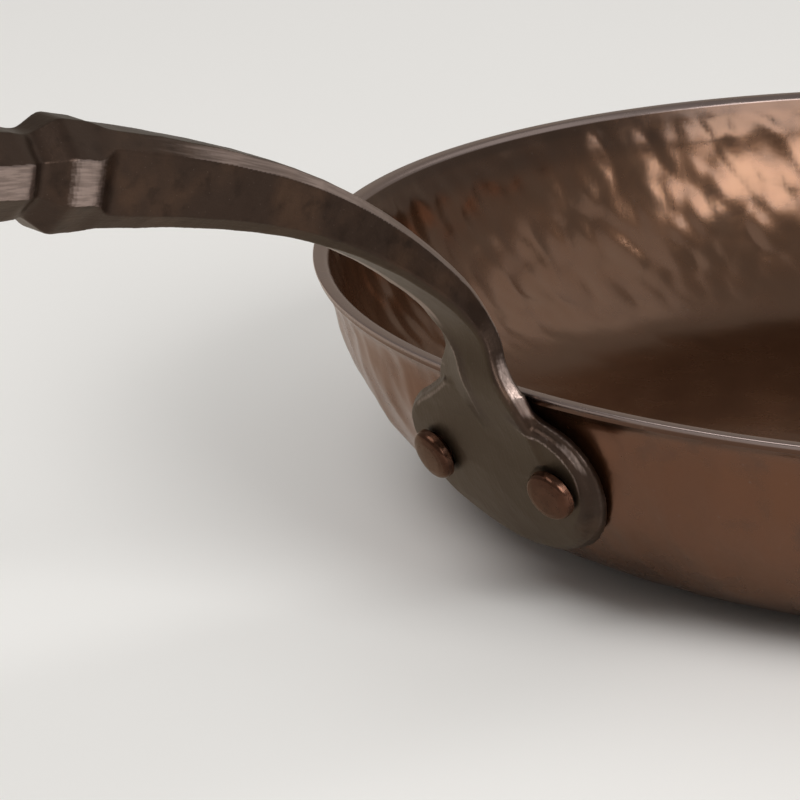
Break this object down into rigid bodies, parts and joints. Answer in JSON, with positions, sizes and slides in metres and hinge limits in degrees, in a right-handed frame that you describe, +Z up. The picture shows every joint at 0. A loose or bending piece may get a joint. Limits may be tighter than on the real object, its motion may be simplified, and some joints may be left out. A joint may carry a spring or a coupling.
{
  "type": "skillet",
  "caption": "Hand-forged steel skillet with a hammered round pan, an arched forged handle with a collar and hanging eye, and rivets.",
  "frame": {"origin": "centre of the pan's flat underside, on the surface that the pan stands on", "axes": "+X along the handle away from the pan, +Z up, +Y to the left when looking along the handle away from the pan"},
  "size_m": [0.5563, 0.305, 0.1303],
  "materials": {
    "hammered_steel": "hammered steel with an oiled bronze-brown patina",
    "forged_steel": "dark brown forge scale with ground edges worn bright",
    "rivet_steel": "smooth bronze-brown steel with rubbed edges"
  },
  "bodies": {
    "root": {"pan_body": "hammered_steel", "handle": "forged_steel", "rivet_left": "rivet_steel", "rivet_right": "rivet_steel"}
  },
  "joints": []
}
